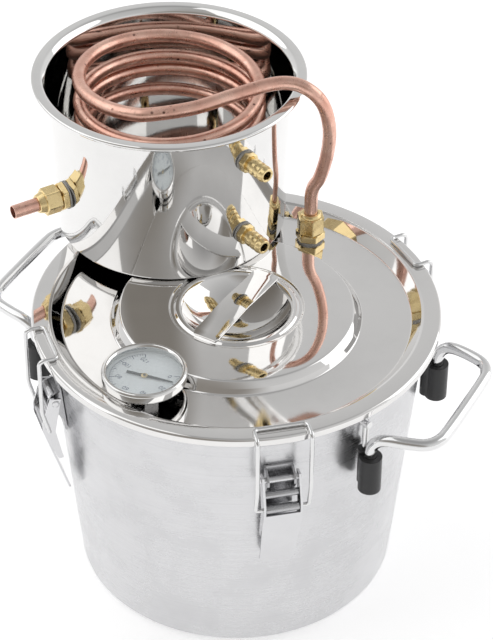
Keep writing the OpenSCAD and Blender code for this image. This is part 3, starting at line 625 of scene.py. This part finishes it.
# The coil is counted in turns. Its inlet leaves the outlet's line at INLET_R and meets the coil as a tangent.
COIL_R, INLET_R, COIL_END, COIL_POINTS, TUBE_R, TUBE_BORE = 60, 62, 4.12, 300, 4.6, 3.95
COIL_START = math.degrees(math.acos(COIL_R / INLET_R)) / 360
LEG_TOP = PANEL + 36


def coil_point(t):
    """A point of the coil, whose turns open out towards its ends."""
    rise = t - 2.2
    return polar(COIL_R, OUTLET_AZ + 360 * t, COND_Z + 86.4 + 10 * rise + 1.9 * rise ** 3, COND)


def outlet_point(r):
    return polar(r, OUTLET_AZ, OUTLET_Z, COND)


coil_path = [outlet_point(r) for r in (120, 110, 90, 73.5)]
coil_path += corner(outlet_point(73.5), outlet_point(INLET_R), coil_point(COIL_START), 12, 10)
coil_step = (COIL_END - COIL_START) / COIL_POINTS
coil_path += [coil_point(COIL_START + k * coil_step) for k in range(2, COIL_POINTS)]
coil_path += spline([
    coil_point(COIL_END - (COIL_END - COIL_START) / 98), coil_point(COIL_END), (-49, 31, RIM + 121.5),
    (-32, 53.5, RIM + 123.2), (-16, 74.5, RIM + 124.6), (-3.5, 84, RIM + 124.2), (8.4, 87.5, RIM + 120),
    (16.6, 91, RIM + 109), (19.4, 95, RIM + 90), (17.2, 98, RIM + 68), (11.6, 99.6, RIM + 46),
    (UNION[0] + 1.6, UNION[1], LEG_TOP + 8), (*UNION[:2], LEG_TOP), (*UNION[:2], LEG_TOP - 8)], 8)
coil_path += [(*UNION[:2], z) for z in (LEG_TOP - 6, LEG_TOP - 20, PANEL - 12)]
tube("copper_tube_coil", coil_path, TUBE_R, "condenser", COPPER, (0, 0, 1), 28, TUBE_BORE,
     replaces=("copper_coil",), start=polar(-1, OUTLET_AZ), end=(0, 0, -1))

# ---- thermometer ---------------------------------------------------------------------------------------

# The case's underside, the dial's face, the bezel's radius and the stem's bore, and the angles of the scale.
CASE_Z, FACE_Z, BEZEL_R, STEM_BORE = 205.4, 207.9, 27.3, 4.02
SCALE_START, SCALE_SWEEP, SCALE_R, FIGURE_R = 27.5, 270.0, 22.2, 16.2
GAUGE = polar(96.5, -99.5)
at_gauge = Matrix.Translation(GAUGE)
lathe("gauge_case_pressing", rounded([
    (STEM_BORE, CASE_Z), (BEZEL_R - 2.4, CASE_Z, 1.2), (BEZEL_R - 1.3, CASE_Z + 1.2, 1),
    (BEZEL_R - 1.3, CASE_Z + 6.6), (BEZEL_R - 2.3, CASE_Z + 6.6), (BEZEL_R - 2.3, CASE_Z + 1),
    (STEM_BORE, CASE_Z + 1)]), "lid", MIRROR, 128, ("gauge_case",), 40, at_gauge)
lathe("gauge_bezel_ring", rounded([
    (BEZEL_R - 1.25, CASE_Z + 2.4), (BEZEL_R - 0.2, CASE_Z + 2.4, 0.3), (BEZEL_R, CASE_Z + 3.0, 0.3),
    (BEZEL_R, CASE_Z + 7.2, 1.2), (BEZEL_R - 1.0, CASE_Z + 8.75, 1.0), (BEZEL_R - 2.6, CASE_Z + 8.75, 0.9),
    (BEZEL_R - 3.6, CASE_Z + 7.4, 0.5), (BEZEL_R - 3.6, CASE_Z + 6.7), (BEZEL_R - 1.25, CASE_Z + 6.7)]),
    "lid", MIRROR, 128, ("gauge_bezel",), 40, at_gauge)
scale_points, scale_faces = [], []


def mark(az, r0, r1, width):
    """Adds one thin printed bar to the dial's scale, from radius r0 to r1."""
    c, s = math.cos(math.radians(az)), math.sin(math.radians(az))
    base = len(scale_points)
    for z in (FACE_Z + 0.01, FACE_Z + 0.04):
        for r, w in ((r0, -width / 2), (r1, -width / 2), (r1, width / 2), (r0, width / 2)):
            scale_points.append((r * c - w * s, r * s + w * c, z))
    for quad in ([3, 2, 1, 0], [4, 5, 6, 7], [0, 1, 5, 4], [1, 2, 6, 5], [2, 3, 7, 6], [3, 0, 4, 7]):
        scale_faces.append([base + k for k in quad])


for k in range(61):
    inner_r, width = (19.0, 0.5) if k % 5 == 0 else (20.4, 0.25)
    mark(SCALE_START - SCALE_SWEEP * k / 60, inner_r, SCALE_R, width)
for k in range(180):
    mark(SCALE_START - SCALE_SWEEP * (k + 0.5) / 180, SCALE_R, SCALE_R + 0.25, 0.62)
piece("dial_scale", scale_points, scale_faces, "lid", INK, (), 30, at_gauge)
upright = Matrix.Rotation(math.radians(SCALE_START - SCALE_SWEEP / 2 - 90), 4, "Z")
for k in range(7):
    label = str(20 * k)
    curve = bpy.data.curves.new("dial_figure_" + label, "FONT")
    curve.body = label
    curve.size = 4.6 * MM
    curve.align_x = curve.align_y = "CENTER"
    curve.extrude = 0.015 * MM
    curve.resolution_u = 3
    text = bpy.data.objects.new("text_" + label, curve)
    bpy.context.scene.collection.objects.link(text)
    bpy.context.view_layer.update()
    mesh = bpy.data.meshes.new_from_object(text.evaluated_get(bpy.context.evaluated_depsgraph_get()))
    bpy.data.objects.remove(text)
    at = polar(FIGURE_R, SCALE_START - SCALE_SWEEP * k / 6, FACE_Z + 0.03, GAUGE)
    mesh.transform(Matrix.Translation([c * MM for c in at]) @ upright)
    mesh.materials.clear()
    mesh.materials.append(INK)
    figure = bpy.data.objects.new("dial_figure_" + label, mesh)
    bpy.context.scene.collection.objects.link(figure)
    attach(figure, "lid")
lathe("pointer_hub", rounded([
    (0, FACE_Z + 0.7), (2.2, FACE_Z + 0.7, 0.2), (2.2, FACE_Z + 1.2, 0.4), (0, FACE_Z + 1.5)]),
    "pointer", BRASS, 48, (), 40, at_gauge)

# ---- stage ---------------------------------------------------------------------------------------------

floor_mesh = bpy.data.meshes.new("floor")
floor_mesh.from_pydata([(-6, -6, 0), (6, -6, 0), (6, 6, 0), (-6, 6, 0)], [], [[0, 1, 2, 3]])
floor = bpy.data.objects.new("floor", floor_mesh)
floor.location.z = -0.0002
bpy.context.scene.collection.objects.link(floor)
paint = Shader("pale_floor", Roughness=0.6, Emission_Color=rgb(1, 1, 1), Emission_Strength=0.42)
paint.to("Base Color", paint.mix(paint.noise(3, 2), rgb(0.93, 0.93, 0.935), rgb(0.90, 0.90, 0.905)))
floor_mesh.materials.append(paint.material)

world = bpy.data.worlds.new("studio")
bpy.context.scene.world = world
world.use_nodes = True
tree = world.node_tree
coords = tree.nodes.new("ShaderNodeTexCoord")
split = tree.nodes.new("ShaderNodeSeparateXYZ")
ramp = tree.nodes.new("ShaderNodeValToRGB")
tree.links.new(coords.outputs["Generated"], split.inputs[0])
tree.links.new(split.outputs["Z"], ramp.inputs["Fac"])
# The studio's brightness from the horizon, at 0, to straight above, at 1.
stops = [(0.0, 0.86), (0.30, 0.80), (0.62, 0.66), (0.85, 0.50), (1.0, 0.38)]
for element, (height, tone) in zip(ramp.color_ramp.elements, (stops[0], stops[-1])):
    element.position, element.color = height, rgb(tone, tone, tone)
for height, tone in stops[1:-1]:
    ramp.color_ramp.elements.new(height).color = rgb(tone, tone, tone)


def eased_step(value, low, high):
    """A world node that rises smoothly from 0 to 1 between two values."""
    made = tree.nodes.new("ShaderNodeMapRange")
    made.interpolation_type = "SMOOTHSTEP"
    made.inputs["From Min"].default_value, made.inputs["From Max"].default_value = low, high
    tree.links.new(value, made.inputs["Value"])
    return made.outputs["Result"]


# The studio is dimmer and warmer in front, above the horizon.
facing = tree.nodes.new("ShaderNodeVectorMath")
facing.operation = "DOT_PRODUCT"
facing.inputs[1].default_value = (0.087, -0.996, 0.0)
tree.links.new(coords.outputs["Generated"], facing.inputs[0])
dim = tree.nodes.new("ShaderNodeMath")
dim.operation = "MULTIPLY"
tree.links.new(eased_step(facing.outputs["Value"], 0.50, 0.82), dim.inputs[0])
tree.links.new(eased_step(split.outputs["Z"], 0.12, 0.32), dim.inputs[1])
sky = tree.nodes.new("ShaderNodeMix")
sky.data_type = "RGBA"
tree.links.new(dim.outputs[0], sky.inputs[0])
tree.links.new(ramp.outputs["Color"], sky.inputs[6])
sky.inputs[7].default_value = rgb(0.30, 0.28, 0.255)
tree.links.new(sky.outputs[2], tree.nodes["Background"].inputs["Color"])
tree.nodes["Background"].inputs["Strength"].default_value = 1.0


def in_view(sideways, height, away):
    """A point given from the camera's side: metres to the right, up, and away past the object's middle."""
    c, s = math.cos(CAMERA_AZ), math.sin(CAMERA_AZ)
    return Vector((sideways * c - away * s, sideways * s + away * c, height))


def lamp(name, at, size, power):
    """A soft rectangular light in watts, turned towards the object's middle."""
    data = bpy.data.lights.new(name, "AREA")
    data.shape, data.size, data.size_y, data.energy = "RECTANGLE", size[0], size[1], power
    obj = bpy.data.objects.new(name, data)
    obj.location = at
    obj.rotation_mode = "QUATERNION"
    obj.rotation_quaternion = (MIDDLE_POINT - at).to_track_quat("-Z", "Y")
    bpy.context.scene.collection.objects.link(obj)


MIDDLE_POINT, CAMERA_AZ = Vector((0, 0, 0.16)), math.radians(27.5)
lamp("key", in_view(-1.3, 1.7, 0.2), (2.2, 2.2), 12)
lamp("side", in_view(1.7, 1.0, 0.5), (1.6, 1.8), 8)

# ---- camera --------------------------------------------------------------------------------------------

eye = Vector((0.5628, -1.0811, 1.1503))
gaze = Vector((-0.3593, 0.6995, -0.6177)).normalized()
right = gaze.cross(Vector((0, 0, 1))).normalized()
above = right.cross(gaze)
roll = math.radians(0.31)
x_axis = right * math.cos(roll) + above * math.sin(roll)
y_axis = x_axis.cross(gaze)
camera = bpy.data.objects.new("camera", bpy.data.cameras.new("camera"))
camera.data.sensor_width = 36  # the picture's height
camera.data.lens = 131.7346875
camera.data.clip_start, camera.data.clip_end = 0.05, 50
camera.matrix_world = Matrix((
    (x_axis.x, y_axis.x, -gaze.x, eye.x), (x_axis.y, y_axis.y, -gaze.y, eye.y),
    (x_axis.z, y_axis.z, -gaze.z, eye.z), (0, 0, 0, 1)))
bpy.context.scene.collection.objects.link(camera)
bpy.context.scene.camera = camera
bpy.context.scene.view_settings.view_transform = "Standard"
bpy.context.scene.view_settings.look = "None"
